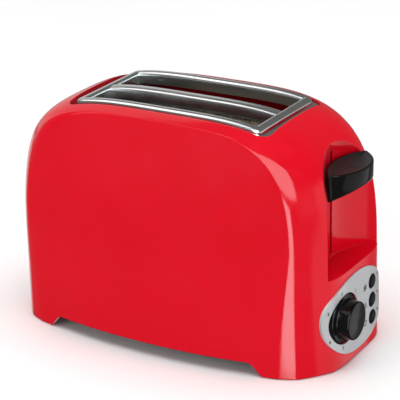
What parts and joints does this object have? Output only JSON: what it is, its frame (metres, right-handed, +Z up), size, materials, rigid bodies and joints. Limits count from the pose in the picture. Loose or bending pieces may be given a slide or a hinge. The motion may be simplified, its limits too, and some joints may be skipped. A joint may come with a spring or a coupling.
{
  "type": "pop up toaster",
  "caption": "Toaster with an arched gloss-red housing, polished slot rim, push-down lever, browning knob, push buttons and a slide-out crumb tray.",
  "frame": {"origin": "on the table, under the middle of the overall box", "axes": "+X along the toaster towards the control end, -Y the front panel, +Z up"},
  "size_m": [0.275, 0.151, 0.1775],
  "materials": {
    "base_plastic": "matt black",
    "black_plastic": "gloss black",
    "circuit_board": "solder mask",
    "coil_copper": "enamelled winding",
    "contact_brass": "bright strip",
    "guard_wire": "bright wire",
    "heater_ribbon": "dark resistance ribbon",
    "housing_red": "gloss red",
    "mica_card": "pale mica sheet",
    "polished_steel": "polished",
    "rod_steel": "ground rod",
    "rubber": "soft matt",
    "sheet_steel": "plain rolled sheet",
    "silver_fascia": "fine silver paint",
    "spring_steel": "drawn wire",
    "white_ceramic": "off-white moulding"
  },
  "bodies": {
    "body": {"base_plate": "base_plastic", "chamber_plate_left": "sheet_steel", "chamber_plate_right": "sheet_steel", "circuit_board": "circuit_board", "contact_blade_live": "contact_brass", "contact_blade_neutral": "contact_brass", "contact_block": "white_ceramic", "control_fascia": "silver_fascia", "cord_gland": "base_plastic", "foot_left_front": "rubber", "foot_left_rear": "rubber", "foot_right_front": "rubber", "foot_right_rear": "rubber", "guard_front_inner": "guard_wire", "guard_front_outer": "guard_wire", "guard_rear_inner": "guard_wire", "guard_rear_outer": "guard_wire", "guide_rod": "rod_steel", "heat_shield_front": "sheet_steel", "heat_shield_rear": "sheet_steel", "heater_card_centre": "mica_card", "heater_card_front": "mica_card", "heater_card_rear": "mica_card", "heater_ribbon_centre": "heater_ribbon", "heater_ribbon_front": "heater_ribbon", "heater_ribbon_rear": "heater_ribbon", "housing": "housing_red", "lift_spring": "spring_steel", "magnet_coil": "coil_copper", "magnet_core": "sheet_steel", "screw_left_front": "sheet_steel", "screw_left_rear": "sheet_steel", "screw_right_front": "sheet_steel", "screw_right_rear": "sheet_steel", "slot_frame": "polished_steel", "switch_cancel": "black_plastic", "switch_defrost": "black_plastic", "switch_reheat": "black_plastic", "terminal_block": "white_ceramic", "timer_body": "sheet_steel", "top_bridge": "sheet_steel"},
    "lever": {"lever_handle": "black_plastic", "carriage": "sheet_steel", "bread_carrier_front": "guard_wire", "bread_carrier_rear": "guard_wire", "armature": "sheet_steel"},
    "knob": {"browning_knob": "black_plastic", "timer_shaft": "rod_steel"},
    "defrost": {"button_defrost": "black_plastic"},
    "reheat": {"button_reheat": "black_plastic"},
    "cancel": {"button_cancel": "black_plastic"},
    "tray": {"crumb_tray": "sheet_steel", "tray_grip": "black_plastic"}
  },
  "joints": [
    {"name": "lever_slide", "type": "slide", "parent": "body", "child": "lever", "axis": [0, 0, 1], "range_m": [-0.045, 0], "stiffness_N_per_m": 90, "springref_m": 0.045, "deforming": ["lift_spring"]},
    {"name": "knob_turn", "type": "hinge", "parent": "body", "child": "knob", "pos_m": [0.11903, -0.0219, 0.0368], "axis": [1, 0, 0], "range_deg": [0, 270]},
    {"name": "defrost_press", "type": "slide", "parent": "body", "child": "defrost", "axis": [-1, 0, 0], "range_m": [0, 0.0025], "stiffness_N_per_m": 500, "springref_m": -0.0005},
    {"name": "reheat_press", "type": "slide", "parent": "body", "child": "reheat", "axis": [-1, 0, 0], "range_m": [0, 0.0025], "stiffness_N_per_m": 500, "springref_m": -0.0005},
    {"name": "cancel_press", "type": "slide", "parent": "body", "child": "cancel", "axis": [-1, 0, 0], "range_m": [0, 0.0025], "stiffness_N_per_m": 500, "springref_m": -0.0005},
    {"name": "tray_slide", "type": "slide", "parent": "body", "child": "tray", "axis": [-1, 0, 0], "range_m": [0, 0.2]}
  ]
}
